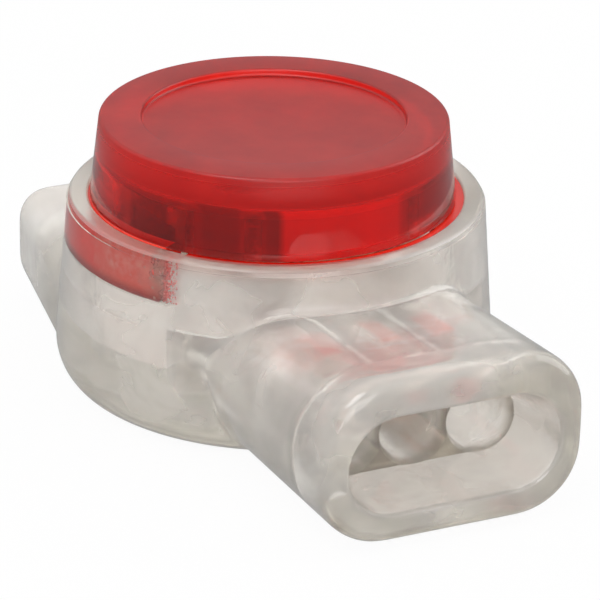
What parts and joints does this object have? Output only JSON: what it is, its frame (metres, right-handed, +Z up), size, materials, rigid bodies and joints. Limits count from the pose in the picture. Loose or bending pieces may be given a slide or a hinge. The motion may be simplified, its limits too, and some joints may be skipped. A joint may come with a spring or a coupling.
{
  "type": "waterproof wire connector",
  "caption": "Clear press-type wire connector: a round cup with a red cap, a nose with a wide mouth and parallel wire channels, and a closed tail.",
  "frame": {"origin": "on the axis of the round cup, in the plane of its flat base", "axes": "-Y points out of the nose's mouth, +Y to the closed tail, +Z up through the cap"},
  "size_m": [0.0138, 0.0213, 0.0086],
  "materials": {
    "housing": "clear moulded, slightly hazy",
    "cap": "see-through red, glossy",
    "contact": "bright tin plate",
    "gel": "clear soft gel"
  },
  "bodies": {
    "housing_body": {"housing": "housing", "sealant_gel": "gel"},
    "cap_body": {"cap": "cap", "contact": "contact"}
  },
  "joints": [
    {"name": "cap_press", "type": "slide", "parent": "housing_body", "child": "cap_body", "axis": [0, 0, 1], "range_m": [-0.00235, 0], "deforming": ["sealant_gel"]}
  ]
}
